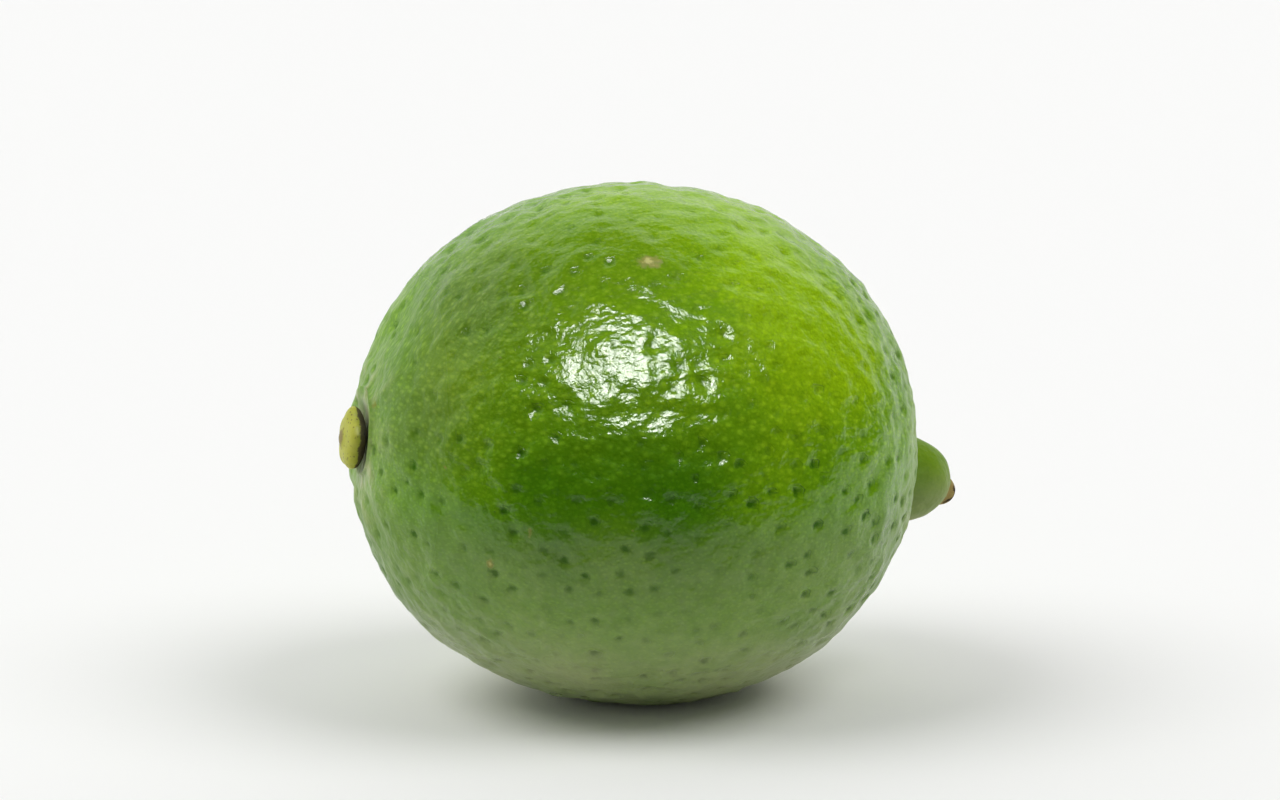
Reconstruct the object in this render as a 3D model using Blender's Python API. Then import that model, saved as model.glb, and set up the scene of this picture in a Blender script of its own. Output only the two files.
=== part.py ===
"""A lime lying on its side: the grown fruit with its nipple, and the stem button in the hollow of the
stem end. Metres, +Z up. The fruit's long axis lies along X, nipple towards +X and a little lower."""

import math

import bmesh
import bpy
import numpy as np
from mathutils import Matrix

MM = 0.001

# Body: an oval of revolution, a little fuller at its shoulders than an ellipse
BODY_RADIUS = 27.0 * MM
BODY_HALF_LENGTH = 29.5 * MM
SHOULDER_FULLNESS = 0.075
FALL_PAST_END = 4.0
AXIS_TILT = math.radians(6.4)

# Nipple at the blossom end: a dome below the middle, set off the body by a shallow groove
NIPPLE_RADIUS = 4.7 * MM
NIPPLE_HEIGHT = 5.7 * MM
NIPPLE_FILLET = 1.5 * MM
NIPPLE_DROP = 2.1 * MM
DROP_START = BODY_HALF_LENGTH - 3.5 * MM
GROOVE_DEPTH = 0.25 * MM
GROOVE_WIDTH = 1.1 * MM

# Stylar tip: the dried knob where the flower's style broke off, low on the dome
TIP_RADIUS = 1.5 * MM
TIP_HEIGHT = 1.1 * MM
TIP_BELOW_MIDDLE = 1.4 * MM

# Hollow at the stem end, with soft folds of rind that run out from it
HOLLOW_DEPTH = 0.9 * MM
HOLLOW_FLOOR_RADIUS = 3.5 * MM
HOLLOW_RADIUS = 5.4 * MM
HOLLOW_DROP = 1.0 * MM
FOLD_COUNT = 9
FOLD_HEIGHT = 0.34 * MM
FOLD_LIFT = 0.35
FOLD_SWAY = 0.9
FOLD_SWAY_TURN = 0.6
FOLD_REACH = 10.0 * MM

# Slow swells and dents that keep the outline from being turned. Each has its angle from the nipple
# end, its angle round the axis from the top, its width and its height
SWELLS = (
    (90.0, 0.0, 15.0 * MM, 0.28 * MM),
    (54.0, 180.0, 9.0 * MM, 0.30 * MM),
    (27.0, 180.0, 6.0 * MM, -0.40 * MM),
    (144.0, 180.0, 8.0 * MM, 0.30 * MM),
    (157.0, 0.0, 6.0 * MM, -0.95 * MM),
    (125.0, 5.0, 8.0 * MM, -0.20 * MM),
    (75.0, 100.0, 12.0 * MM, 0.30 * MM),
    (110.0, 230.0, 11.0 * MM, -0.20 * MM),
)

# Pits of the rind, larger than life: the real ones are about a millimetre across
PIT_COUNT = 400
PIT_RADIUS = 2.2 * MM
PIT_DEPTH = 0.36 * MM
PIT_SCATTER = 0.20
PIT_SEED = 11

# Resting spot: where the fruit flattens a little on the surface below it
REST_SPOT_DEPTH = 0.45 * MM
REST_SPOT_CLEAR = 8.0 * MM

# Mesh of the fruit: a cube with this many faces along an edge, blown up to the fruit's form. Its rings
# crowd together towards the two ends
FACES_ALONG_EDGE = 28
PROFILE_STEPS = 2400
NIPPLE_CROWDING = 2.4
NIPPLE_CROWDING_REACH = 4.5 * MM
STEM_CROWDING = 0.8
STEM_CROWDING_REACH = 6.0 * MM

# Stem button: the dried calyx, a thick disc with five low lobes and the scar of the stalk on it
BUTTON_RADIUS = 3.15 * MM
BUTTON_THICKNESS = 2.3 * MM
BUTTON_GAP = 0.3 * MM
BUTTON_LOBES = 5
BUTTON_LOBE_DEPTH = 0.07
BUTTON_FLATNESS = 0.6
BUTTON_RIM_SQUARENESS = 0.8
BUTTON_UNDERCUT = 0.22
BUTTON_SEGMENTS = 45
BUTTON_RINGS = 16
SCAR_RADIUS = 1.6 * MM
SCAR_HEIGHT = 0.35 * MM

RIND_GREEN = (0.10, 0.22, 0.012, 1.0)
BUTTON_GREEN = (0.36, 0.37, 0.03, 1.0)


def clear_scene():
    for obj in list(bpy.data.objects):
        bpy.data.objects.remove(obj)


def make_collection(name):
    collection = bpy.data.collections.new(name)
    bpy.context.scene.collection.children.link(collection)
    return collection


def make_material(name, colour, roughness):
    material = bpy.data.materials.new(name)
    material.use_nodes = True
    shader = material.node_tree.nodes["Principled BSDF"]
    shader.inputs["Base Color"].default_value = colour
    shader.inputs["Roughness"].default_value = roughness
    shader.inputs["Metallic"].default_value = 0.0
    return material


def make_object(name, mesh_data, material, collection, parent):
    mesh = bpy.data.meshes.new(name)
    mesh_data.to_mesh(mesh)
    mesh_data.free()
    mesh.materials.append(material)
    mesh.shade_smooth()
    obj = bpy.data.objects.new(name, mesh)
    obj.parent = parent
    collection.objects.link(obj)
    return obj


def smooth_step(low, high, value):
    share = np.clip((value - low) / (high - low), 0.0, 1.0)
    return share * share * (3.0 - 2.0 * share)


def soft_hill(distance, reach):
    """1 at the middle, falling smoothly to 0 at the given reach."""
    return 0.5 + 0.5 * np.cos(math.pi * np.clip(distance / reach, 0.0, 1.0))


def body_profile(along):
    """Radius of the body at a place along its axis. Past its end the value goes below zero."""
    share = np.clip(along / BODY_HALF_LENGTH, -1.0, 1.0)
    radius = BODY_RADIUS * np.sqrt(1.0 - share**2) * (1.0 + SHOULDER_FULLNESS * share**2)
    return radius - FALL_PAST_END * np.maximum(along - BODY_HALF_LENGTH, 0.0)


def nipple_profile(along):
    """Radius of the nipple's dome, which stands on the end of the body."""
    share = np.clip((along - BODY_HALF_LENGTH) / NIPPLE_HEIGHT, 0.0, 1.0)
    return NIPPLE_RADIUS * np.sqrt(1.0 - share**2)


def soft_largest(first, second, blend):
    """The larger of two radii, with a fillet where they meet."""
    near = np.maximum(blend - np.abs(first - second), 0.0) / blend
    return np.maximum(first, second) + near * near * blend / 4.0


def fruit_profile():
    """(along, radius) of the whole outline, from the top of the dome to the stem end."""
    dome_end = BODY_HALF_LENGTH + NIPPLE_HEIGHT
    middle = NIPPLE_HEIGHT / 2.0
    along = middle + (dome_end - middle) * np.cos(np.linspace(0.0, math.pi, PROFILE_STEPS))
    radius = soft_largest(body_profile(along), nipple_profile(along), NIPPLE_FILLET)
    radius[0] = 0.0
    radius[-1] = 0.0
    return along, radius


def place_on_profile(share, nipple_crowding=0.0, stem_crowding=0.0):
    """(along, radius) at each share of the way from the nipple to the stem end."""
    along, radius = fruit_profile()
    step = np.hypot(np.diff(along), np.diff(radius))
    length = np.concatenate([[0.0], np.cumsum(step)])
    crowding = (
        1.0
        + nipple_crowding * np.exp(-length / NIPPLE_CROWDING_REACH)
        + stem_crowding * np.exp(-(length[-1] - length) / STEM_CROWDING_REACH)
    )
    rings = np.concatenate([[0.0], np.cumsum(step * (crowding[1:] + crowding[:-1]) / 2.0)])
    at = np.interp(share, rings / rings[-1], length)
    return np.interp(at, length, along), np.interp(at, length, radius)


def nipple_drop(along):
    """How far the fruit's sections sink towards the nipple end, at a place along the axis."""
    return NIPPLE_DROP * smooth_step(DROP_START, BODY_HALF_LENGTH, along)


def base_form(along, radius, around):
    """Points of the fruit without relief, its axis along +X. Around is 0 at the top."""
    across = radius * np.sin(around)
    up = radius * np.cos(around) - nipple_drop(along)
    from_stem = np.hypot(across, up + HOLLOW_DROP)
    wall = smooth_step(HOLLOW_RADIUS, HOLLOW_FLOOR_RADIUS, from_stem)
    at_stem = along < 0.0
    return np.stack([np.where(at_stem, along + HOLLOW_DEPTH * wall, along), across, up], axis=1)


def pit_centres():
    """Points spread evenly over the fruit on a spiral, each moved a little at random."""
    random = np.random.default_rng(PIT_SEED)
    number = np.arange(PIT_COUNT) + 0.5
    spacing = math.sqrt(4.0 * math.pi / PIT_COUNT)
    polar = np.arccos(1.0 - 2.0 * number / PIT_COUNT)
    side = np.sin(polar)
    turn = number * math.pi * (3.0 - math.sqrt(5.0))
    turn += random.normal(0.0, PIT_SCATTER * spacing, PIT_COUNT) / side
    polar = np.clip(polar + random.normal(0.0, PIT_SCATTER * spacing, PIT_COUNT), 0.0, math.pi)
    return base_form(*place_on_profile(polar / math.pi), turn)


def relief(points):
    """Height of swells, folds, groove and pits above the base form at each point."""
    height = np.zeros(len(points))
    for polar_degrees, around_degrees, width, rise in SWELLS:
        along, radius = place_on_profile(np.array([polar_degrees / 180.0]))
        centre = base_form(along, radius, math.radians(around_degrees))[0]
        distance = np.linalg.norm(points - centre, axis=1)
        height += rise * np.exp(-((distance / width) ** 2))
    at_stem = points[:, 0] < 0.0
    from_stem = np.hypot(points[:, 1], points[:, 2] + HOLLOW_DROP)
    around = np.arctan2(points[:, 1], points[:, 2] + HOLLOW_DROP)
    fold_window = smooth_step(HOLLOW_FLOOR_RADIUS, HOLLOW_RADIUS, from_stem)
    fold_window *= smooth_step(FOLD_REACH, HOLLOW_RADIUS, from_stem) * at_stem
    fold_angle = FOLD_COUNT * around + FOLD_SWAY * np.sin(2.0 * around + FOLD_SWAY_TURN)
    height += FOLD_HEIGHT * (FOLD_LIFT + (1.0 - FOLD_LIFT) * np.cos(fold_angle)) * fold_window
    at_nipple = points[:, 0] > DROP_START
    from_nipple = np.hypot(points[:, 1], points[:, 2] + nipple_drop(points[:, 0]))
    groove = soft_hill(np.abs(from_nipple - NIPPLE_RADIUS - GROOVE_WIDTH), GROOVE_WIDTH) * at_nipple
    height -= GROOVE_DEPTH * groove
    dome_share = math.sqrt(1.0 - (TIP_BELOW_MIDDLE / NIPPLE_RADIUS) ** 2)
    tip = (BODY_HALF_LENGTH + NIPPLE_HEIGHT * dome_share, 0.0, -NIPPLE_DROP - TIP_BELOW_MIDDLE)
    from_tip = np.linalg.norm(points - np.array(tip), axis=1)
    height += TIP_HEIGHT * np.sqrt(soft_hill(from_tip, TIP_RADIUS))
    pits = np.zeros(len(points))
    for centre in pit_centres():
        distance = np.linalg.norm(points - centre, axis=1)
        pits = np.maximum(pits, PIT_DEPTH * soft_hill(distance, PIT_RADIUS))
    off_nipple = np.where(at_nipple, smooth_step(NIPPLE_RADIUS, 2.0 * NIPPLE_RADIUS, from_nipple), 1.0)
    off_hollow = np.where(at_stem, smooth_step(HOLLOW_RADIUS, 2.0 * HOLLOW_RADIUS, from_stem), 1.0)
    height -= pits * off_nipple * off_hollow
    return height


def rings_of_cube(corners):
    """Share of the way from the +X face's middle to the -X face's, and angle round X, of each point of a
    cube, so that every square ring of the two end faces becomes a circle."""
    x, y, z = corners.T
    wide = np.maximum(np.abs(y), np.abs(z))
    on_side = 0.5 - x / 4.0
    on_end = 0.5 - np.sign(x) * (0.5 - wide / 4.0)
    share = np.where(np.abs(x) > 1.0 - 1e-6, on_end, on_side)
    mostly_up = np.abs(z) >= np.abs(y)
    slope = np.where(mostly_up, y, z) / np.where(wide > 0.0, np.where(mostly_up, z, y), 1.0)
    up_turn = np.where(z >= 0.0, 0.0, math.pi) + slope * math.pi / 4.0
    side_turn = np.sign(y) * math.pi / 2.0 - slope * math.pi / 4.0
    return share, np.where(mostly_up, up_turn, side_turn)


def make_fruit(material, collection, parent):
    fruit = bmesh.new()
    bmesh.ops.create_cube(fruit, size=2.0)
    bmesh.ops.subdivide_edges(fruit, edges=fruit.edges[:], cuts=FACES_ALONG_EDGE - 1, use_grid_fill=True)
    share, around = rings_of_cube(np.array([vert.co for vert in fruit.verts]))
    points = base_form(*place_on_profile(share, NIPPLE_CROWDING, STEM_CROWDING), around)
    for vert, point in zip(fruit.verts, points):
        vert.co = point
    fruit.normal_update()
    normals = np.array([vert.normal for vert in fruit.verts])
    tilt = Matrix.Rotation(AXIS_TILT, 3, "Y")
    lying = points @ np.array(tilt).T
    lowest = lying[lying[:, 2].argmin()]
    from_spot = np.hypot(lying[:, 0] - lowest[0], lying[:, 1] - lowest[1])
    on_underside = lying[:, 2] < 0.0
    clear = np.where(on_underside, smooth_step(0.5 * REST_SPOT_CLEAR, REST_SPOT_CLEAR, from_spot), 1.0)
    moved = points + normals * (relief(points) * clear)[:, None]
    floor = lowest[2] + REST_SPOT_DEPTH
    for vert, point in zip(fruit.verts, moved @ np.array(tilt).T):
        vert.co = (point[0], point[1], max(point[2] - floor, 0.0))
    bmesh.ops.triangulate(fruit, faces=fruit.faces[:], quad_method="SHORT_EDGE")
    fruit_object = make_object("lime_fruit", fruit, material, collection, parent)
    return fruit_object, floor


def make_button(material, collection, parent, floor):
    """The calyx disc, modelled with its outer face up, then laid in the hollow of the stem end."""
    button = bmesh.new()
    bmesh.ops.create_uvsphere(button, u_segments=BUTTON_SEGMENTS, v_segments=BUTTON_RINGS, radius=1.0)
    for vert in button.verts:
        around = math.atan2(vert.co.y, vert.co.x)
        flat = math.hypot(vert.co.x, vert.co.y) ** BUTTON_FLATNESS
        lobes = 1.0 + BUTTON_LOBE_DEPTH * math.cos(BUTTON_LOBES * around)
        under = 1.0 - BUTTON_UNDERCUT * smooth_step(0.2, -0.9, vert.co.z)
        radius = BUTTON_RADIUS * flat * lobes * under
        half = BUTTON_THICKNESS / 2.0 * abs(vert.co.z) ** BUTTON_RIM_SQUARENESS
        height = math.copysign(half, vert.co.z)
        if vert.co.z > 0.0:
            height += SCAR_HEIGHT * soft_hill(radius, SCAR_RADIUS)
        vert.co = (radius * math.cos(around), radius * math.sin(around), height)
    obj = make_object("stem_button", button, material, collection, parent)
    seat = BODY_HALF_LENGTH - HOLLOW_DEPTH + BUTTON_GAP + BUTTON_THICKNESS / 2.0
    tilt = Matrix.Rotation(AXIS_TILT, 4, "Y")
    face_out = Matrix.Rotation(-math.pi / 2.0, 4, "Y")
    place = Matrix.Translation((0.0, 0.0, -floor)) @ tilt @ Matrix.Translation((-seat, 0.0, -HOLLOW_DROP))
    obj.matrix_world = place @ face_out
    return obj


def centre_on_origin(root, objects):
    """Moves the whole lime so that the middle of its box's underside is the origin."""
    bpy.context.view_layer.update()
    corners = np.array([obj.matrix_world @ vert.co for obj in objects for vert in obj.data.vertices])
    middle = (corners.min(axis=0) + corners.max(axis=0)) / 2.0
    root.location = (-middle[0], -middle[1], 0.0)
    bpy.context.view_layer.update()


def main():
    clear_scene()
    lime = make_collection("lime")
    root = bpy.data.objects.new("lime_at_rest", None)
    lime.objects.link(root)
    rind = make_material("waxy_rind", RIND_GREEN, 0.35)
    calyx = make_material("dried_calyx", BUTTON_GREEN, 0.7)
    fruit, floor = make_fruit(rind, lime, root)
    button = make_button(calyx, lime, root, floor)
    centre_on_origin(root, [fruit, button])


main()
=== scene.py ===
"""Finished looks of a lime lying on a pale table: its pitted waxy skin, its stem button and the studio.
Metres, +Z up. The fruit's long axis lies along X, nipple towards +X and a little lower."""

import math
from functools import partial

import bmesh
import bpy
import numpy as np
from mathutils import Matrix, Vector, kdtree, noise


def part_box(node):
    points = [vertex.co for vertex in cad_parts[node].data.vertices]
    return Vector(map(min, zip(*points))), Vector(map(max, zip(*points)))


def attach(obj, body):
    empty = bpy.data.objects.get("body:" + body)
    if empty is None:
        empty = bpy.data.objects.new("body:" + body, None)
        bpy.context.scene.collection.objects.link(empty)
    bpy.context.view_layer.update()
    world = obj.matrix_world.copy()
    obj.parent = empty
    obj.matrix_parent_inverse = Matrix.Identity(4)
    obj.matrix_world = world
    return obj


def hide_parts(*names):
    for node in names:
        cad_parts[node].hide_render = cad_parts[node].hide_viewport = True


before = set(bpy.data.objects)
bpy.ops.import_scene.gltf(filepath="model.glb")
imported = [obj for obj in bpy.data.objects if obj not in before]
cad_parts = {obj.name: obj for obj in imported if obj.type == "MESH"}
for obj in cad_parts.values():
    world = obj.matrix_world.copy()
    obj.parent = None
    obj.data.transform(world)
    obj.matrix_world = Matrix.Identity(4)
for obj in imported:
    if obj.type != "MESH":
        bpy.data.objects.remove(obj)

bl_info = {
    "name": "Lime",
    "version": (1, 0, 0),
    "blender": (4, 5, 0),
    "location": "3D View > Sidebar > Lime",
    "description": "Models the skin and the stem button of a lime, and a table with studio light",
    "category": "Add Mesh",
}

MM = 0.001

# Body: an oval of revolution, a little fuller at its shoulders than an ellipse
BODY_RADIUS = 27.0 * MM
BODY_HALF_LENGTH = 29.5 * MM
SHOULDER_FULLNESS = 0.075
FALL_PAST_END = 4.0
AXIS_TILT = math.radians(6.4)

# Nipple at the blossom end: a dome below the middle, set off the body by a shallow groove
NIPPLE_RADIUS = 4.7 * MM
NIPPLE_HEIGHT = 5.7 * MM
NIPPLE_FILLET = 1.5 * MM
NIPPLE_DROP = 2.1 * MM
DROP_START = BODY_HALF_LENGTH - 3.5 * MM
GROOVE_DEPTH = 0.25 * MM
GROOVE_WIDTH = 1.1 * MM

# Stylar tip: the dried knob where the flower's style broke off, low on the dome
TIP_RADIUS = 1.75 * MM
TIP_HEIGHT = 1.1 * MM
TIP_BELOW_MIDDLE = 1.2 * MM

# Hollow at the stem end, with soft folds of rind that run out from it. The folds rise from their start to
# their crest and die out at their reach, and are calm within the first turn (radians) from the top
HOLLOW_DEPTH = 0.9 * MM
HOLLOW_FLOOR_RADIUS = 1.0 * MM
HOLLOW_RADIUS = 5.6 * MM
HOLLOW_DROP = 1.0 * MM
FOLD_COUNT = 9
FOLD_HEIGHT = 0.34 * MM
FOLD_LIFT = 0.35
FOLD_SWAY = 0.9
FOLD_SWAY_TURN = 0.6
FOLD_START = 4.6 * MM
FOLD_CREST = 7.5 * MM
FOLD_REACH = 13.0 * MM
FOLD_PALEST = 2.8 * MM
FOLD_CALM_TURN = 0.25
FOLD_FULL_TURN = 0.90

# Slow swells and dents that keep the outline from being turned. Each has its angle from the nipple
# end, its angle round the axis from the top, its width and its height
SWELLS = (
    (90.0, 0.0, 15.0 * MM, 0.28 * MM),
    (54.0, 180.0, 9.0 * MM, 0.30 * MM),
    (27.0, 180.0, 6.0 * MM, -0.40 * MM),
    (144.0, 180.0, 8.0 * MM, 0.30 * MM),
    (157.0, 0.0, 6.0 * MM, -0.95 * MM),
    (125.0, 5.0, 8.0 * MM, -0.20 * MM),
    (75.0, 100.0, 12.0 * MM, 0.30 * MM),
    (110.0, 230.0, 11.0 * MM, -0.20 * MM),
)

# Resting spot: where the fruit flattens a little on the surface below it
REST_SPOT_DEPTH = 0.45 * MM
REST_SPOT_CLEAR = (4.0 * MM, 8.0 * MM)

# Mesh of the skin: a cube with this many faces along an edge, blown up to the fruit's form, so a face
# is about a third of a millimetre across. Its rings crowd together towards the two ends
FACES_ALONG_EDGE = 126
PROFILE_STEPS = 2400
NIPPLE_CROWDING = 1.6
NIPPLE_CROWDING_REACH = 4.5 * MM
STEM_CROWDING = 0.6
STEM_CROWDING_REACH = 6.0 * MM

# Unevenness of the skin between its pits: usual length of a wave and its height
RIPPLES = (
    (3.0 * MM, 0.125 * MM),
    (1.3 * MM, 0.058 * MM),
)
NIPPLE_RIPPLE = 0.60

# Pits and ripples fade out between these ways from the nipple's axis and from the stem's
NIPPLE_CLEAR = (0.9 * NIPPLE_RADIUS, 1.6 * NIPPLE_RADIUS)
BUTTON_RADIUS = 3.15 * MM
BUTTON_CLEAR = (BUTTON_RADIUS, 1.6 * BUTTON_RADIUS)

# Step between two of the skin's six flat sheets, in half edges of the cube
SHEET_STEP = 3.0

# Pits: how far they stray from even spacing, the range of their widths and depths, and how deep they are
# in a crowd, away from one, and on yellow skin
PIT_SEED = 23
PIT_SCATTER = 0.34
PIT_LEAST_GAP = 1.9 * MM
PIT_WIDTHS = (0.75, 1.65)
PIT_DEPTHS = (0.35, 1.0)
PIT_STRETCH = 1.4
PIT_LEAN = 0.5
PIT_CLOUD = 9.0 * MM
CROWD_MIDDLE = 0.80
CROWD_SWING = 1.2
CROWD_LEAST = 0.40
RIPE_SHALLOWER = 0.4
RIPE_MOST = 0.8

# Form of a pit: a narrow bowl, the core, in a wider dimple with a low rim. Places and widths are in
# radii of the pit
PIT_CORE = 0.65
PIT_DIMPLE = 2.0
PIT_RIM_HEIGHT = 0.12
PIT_RIM_PLACE = 1.9
PIT_RIM_WIDTH = 0.7
PIT_REACH = 3.2
PIT_DRAWN_REACH = 0.72 * MM
PIT_OUTLINE_STRAY = 1.1 * MM

# Patches where the skin has turned yellow, or is darker green. Each has its angle from the
# nipple end, its angle round the axis from the top, its width and how yellow it is, below 0 for dark.
# The dark patches round 270°, on the side that faces the eye, are painted shade
RIPE_AND_SHADE_PATCHES = (
    (76.0, 315.0, 6.5 * MM, 0.70),
    (72.0, 311.0, 11.0 * MM, 0.30),
    (60.0, 306.0, 5.0 * MM, 0.55),
    (95.0, 345.0, 15.0 * MM, 0.42),
    (145.0, 300.0, 5.5 * MM, 0.24),
    (128.0, 300.0, 9.0 * MM, 0.22),
    (78.0, 284.0, 8.0 * MM, 0.14),
    (6.0, 0.0, 5.5 * MM, 1.10),
    (60.0, 20.0, 12.0 * MM, 0.50),
    (118.0, 70.0, 16.0 * MM, 0.30),
    (80.0, 150.0, 14.0 * MM, 0.40),
    (113.0, 270.0, 7.0 * MM, -0.27),
    (128.0, 270.0, 6.0 * MM, -0.28),
    (96.0, 270.0, 6.0 * MM, -0.28),
    (70.0, 110.0, 12.0 * MM, -0.40),
    (140.0, 170.0, 12.0 * MM, -0.30),
)

# Places where the green is duller and more olive, in the same numbers
OLIVE_PATCHES = (
    (127.0, 325.0, 13.0 * MM, 0.42),
    (106.0, 330.0, 6.0 * MM, 0.25),
    (152.0, 284.0, 7.0 * MM, 0.55),
    (140.0, 330.0, 8.0 * MM, 0.40),
    (60.0, 252.0, 7.0 * MM, 0.30),
    (100.0, 180.0, 14.0 * MM, 0.30),
    (60.0, 90.0, 10.0 * MM, 0.35),
)

# Where each colour or film starts on the skin, where it is full, and its share there. By the way from the
# stem's axis:
STEM_COLLAR = (6.0 * MM, 4.0 * MM, 0.22)
# Floor round the button: dry skin, darkened as painted shade in the hollow
DRY_FLOOR_AND_PAINTED_SHADE = (3.9 * MM, 3.1 * MM, 0.35)
# By the way from the nipple's axis:
NIPPLE_RIDGES = (19.0 * MM, 9.0 * MM, 0.42)
# By how much the skin faces down, from -1 to 1. All of these paint light: the pale ridges and the
# pale film below are painted sheen, as if lit from the table, and the olive below is painted shade:
PAINTED_SHEEN_RIDGES_BELOW = (0.05, 0.45, 0.10)
PAINTED_SHADE_BELOW = (0.0, 0.25, 0.38)
FAINT_PAINTED_SHEEN_BELOW = (0.0, 0.3, 0.06)
PAINTED_SHEEN_BELOW = (0.42, 0.86, 0.42)
NIPPLE_PAINTED_SHEEN = (-0.7, 0.4, 0.34)

# Pale share of the stem's folds in their troughs, and what their crests add. Pale ring round the
# nipple, a painted highlight along the edge of the body beside it
TROUGH_PALE = 0.30
CREST_PALE = 0.35
BAND_PLACE = 1.60 * NIPPLE_RADIUS
BAND_WIDTH = 0.65 * NIPPLE_RADIUS
BAND_PALE = 0.58

# The two ends, as shares of the way from the nipple to the stem end, where the wax starts to be thin and
# where it is thinnest. Then how olive the nipple is, and how much gloss it and the ends lack
NIPPLE_END = (0.38, 0.20)
STEM_END = (0.72, 0.86)
NIPPLE_OLIVE = 0.70
NIPPLE_DULL = 0.80
ENDS_DULL = 0.30
TIP_STAIN = 1.05 * TIP_RADIUS

# Gloss: specular level of the skin and of a pit's bottom, and what pits and the pale film of painted
# sheen add to the roughness
SKIN_SPECULAR = 0.5
PIT_SPECULAR = 0.06
PIT_ROUGHER = 0.20
PAINTED_SHEEN_ROUGHER = 0.35
SMALL_GLAND_SPACING = 0.45

# Dry marks on the skin: angle from the nipple end, angle round the axis, half width along the axis,
# half width across it, and strength
DRY_MARKS = (
    (103.6, 323.5, 1.25 * MM, 0.75 * MM, 1.0),
    (132.8, 244.0, 0.26 * MM, 0.62 * MM, 1.0),
    (126.3, 257.0, 0.20 * MM, 0.50 * MM, 0.9),
    (146.2, 269.0, 0.22 * MM, 0.16 * MM, 0.8),
    (107.5, 262.0, 0.14 * MM, 0.10 * MM, 1.0),
    (134.2, 303.0, 0.20 * MM, 0.14 * MM, 0.8),
    (169.5, 310.0, 0.40 * MM, 0.40 * MM, 0.9),
    (88.0, 60.0, 0.70 * MM, 0.40 * MM, 0.9),
    (70.0, 135.0, 0.25 * MM, 0.60 * MM, 0.8),
    (120.0, 150.0, 0.40 * MM, 0.30 * MM, 0.9),
    (55.0, 200.0, 0.30 * MM, 0.25 * MM, 0.8),
)

# Stem button: the dried calyx, a thick disc with five low lobes and the scar of the stalk on it
BUTTON_THICKNESS = 2.3 * MM
BUTTON_GAP = 0.3 * MM
BUTTON_LOBES = 5
BUTTON_LOBE_DEPTH = 0.07
BUTTON_FLATNESS = 0.6
BUTTON_RIM_SQUARENESS = 0.8
BUTTON_UNDERCUT = 0.22
BUTTON_SEGMENTS = 180
BUTTON_RINGS = 90
SCAR_RADIUS = 1.6 * MM
SCAR_HEIGHT = 0.35 * MM
SCAR_STAIN = 1.2 * SCAR_RADIUS
WRINKLE_SWAY = 1.5
WRINKLE_SWAYS = 3.0
WRINKLE_RIM_POWER = 6
# Heights on the unit ball between which the undercut and the dried edge set in
UNDERCUT_FADE = (0.2, -0.9)
DRY_EDGE_FADE = (0.35, -0.35)

# The eye looks along +Y from here, turned this far to the side and raised this far
EYE_AZIMUTH = math.radians(-16.0)
EYE_ELEVATION = math.radians(12.0)
EYE_DISTANCE = 0.42
EYE_TARGET = (0.0, 0.0, 27.0 * MM)
PICTURE_WIDTH = 1280
TARGET_RIGHT_OF_MIDDLE = 13.8
TARGET_BELOW_MIDDLE = 39.6
FOCAL_PIXELS = 4025.7
SENSOR_WIDTH = 36.0

# Brightness of the dark parts of the room, and of the surround as the eye sees it
DARK_ROOM = 0.01
SURROUND_SEEN = 1.17
TABLE_SEGMENTS = 96


def linear(code):
    """(r, g, b, 1) in linear light from an sRGB hex value."""
    channels = [int(code[place : place + 2], 16) / 255.0 for place in (1, 3, 5)]
    return tuple(c / 12.92 if c <= 0.04045 else ((c + 0.055) / 1.055) ** 2.4 for c in channels) + (1.0,)


def smooth_step(low, high, value):
    share = np.clip((value - low) / (high - low), 0.0, 1.0)
    return share * share * (3.0 - 2.0 * share)


def soft_hill(distance, reach):
    """1 at the middle, falling smoothly to 0 at the given reach."""
    return 0.5 + 0.5 * np.cos(math.pi * np.clip(distance / reach, 0.0, 1.0))


def fade(limits, value):
    """Share of a colour or film at a value, from where it starts, where it is full and its share there."""
    start, full, share = limits
    return share * smooth_step(start, full, value)


def body_profile(along):
    """Radius of the body at a place along its axis. Past its end the value goes below zero."""
    share = np.clip(along / BODY_HALF_LENGTH, -1.0, 1.0)
    radius = BODY_RADIUS * np.sqrt(1.0 - share**2) * (1.0 + SHOULDER_FULLNESS * share**2)
    return radius - FALL_PAST_END * np.maximum(along - BODY_HALF_LENGTH, 0.0)


def nipple_profile(along):
    """Radius of the nipple's dome, which stands on the end of the body."""
    share = np.clip((along - BODY_HALF_LENGTH) / NIPPLE_HEIGHT, 0.0, 1.0)
    return NIPPLE_RADIUS * np.sqrt(1.0 - share**2)


def soft_largest(first, second, blend):
    """The larger of two radii, with a fillet where they meet."""
    near = np.maximum(blend - np.abs(first - second), 0.0) / blend
    return np.maximum(first, second) + near * near * blend / 4.0


def fruit_profile():
    """(along, radius) of the whole outline, from the top of the dome to the stem end."""
    dome_end = BODY_HALF_LENGTH + NIPPLE_HEIGHT
    middle = NIPPLE_HEIGHT / 2.0
    along = middle + (dome_end - middle) * np.cos(np.linspace(0.0, math.pi, PROFILE_STEPS))
    radius = soft_largest(body_profile(along), nipple_profile(along), NIPPLE_FILLET)
    radius[0] = 0.0
    radius[-1] = 0.0
    return along, radius


def place_on_profile(share, nipple_crowding=0.0, stem_crowding=0.0):
    """(along, radius) at each share of the way from the nipple to the stem end."""
    along, radius = fruit_profile()
    step = np.hypot(np.diff(along), np.diff(radius))
    length = np.concatenate([[0.0], np.cumsum(step)])
    crowding = (
        1.0
        + nipple_crowding * np.exp(-length / NIPPLE_CROWDING_REACH)
        + stem_crowding * np.exp(-(length[-1] - length) / STEM_CROWDING_REACH)
    )
    rings = np.concatenate([[0.0], np.cumsum(step * (crowding[1:] + crowding[:-1]) / 2.0)])
    at = np.interp(share, rings / rings[-1], length)
    return np.interp(at, length, along), np.interp(at, length, radius)


def nipple_drop(along):
    """How far the fruit's sections sink towards the nipple end, at a place along the axis."""
    return NIPPLE_DROP * smooth_step(DROP_START, BODY_HALF_LENGTH, along)


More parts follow.
